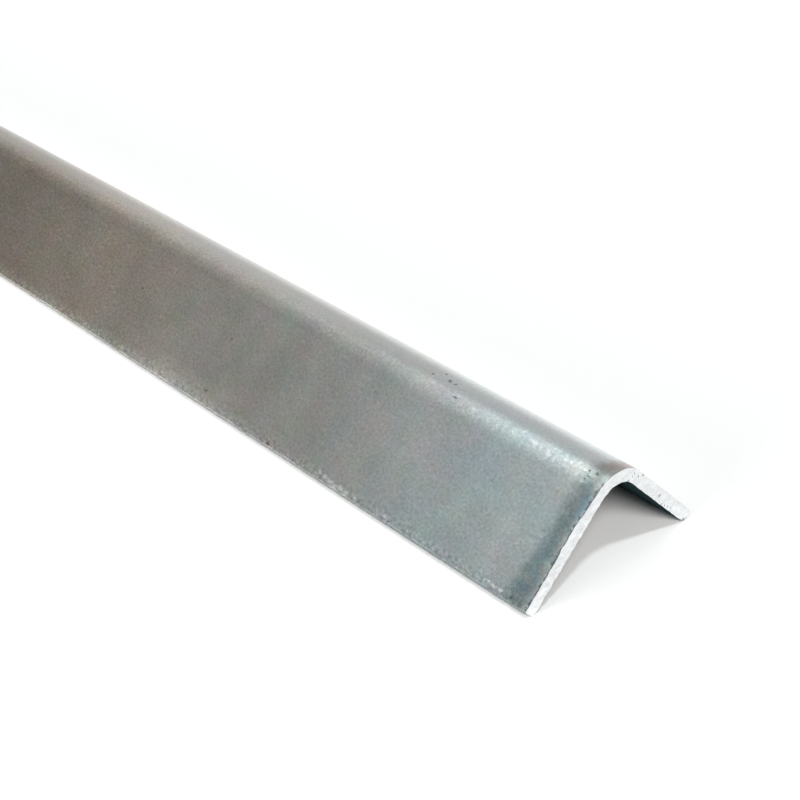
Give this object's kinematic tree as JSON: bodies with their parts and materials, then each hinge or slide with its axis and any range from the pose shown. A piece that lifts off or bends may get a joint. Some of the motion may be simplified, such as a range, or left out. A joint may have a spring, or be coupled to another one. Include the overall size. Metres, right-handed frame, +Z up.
{
  "type": "steel angle section",
  "caption": "Length of equal-leg steel angle, cold formed from flat strip with a rounded heel and sawn square, for frames, brackets and edges.",
  "frame": {"origin": "on the floor under the middle of the bar, which stands on its two toes with the heel up", "axes": "+X along the bar to the sawn end that shows, +Z up through the heel, leg A falls towards -Y and leg B towards +Y, each 45 degrees off level"},
  "size_m": [1, 0.0492, 0.0225],
  "materials": {
    "bare_steel": "bare cold-formed steel, grey and slightly mottled, bright on the sawn ends"
  },
  "bodies": {
    "root": {"angle_section": "bare_steel"}
  },
  "joints": []
}
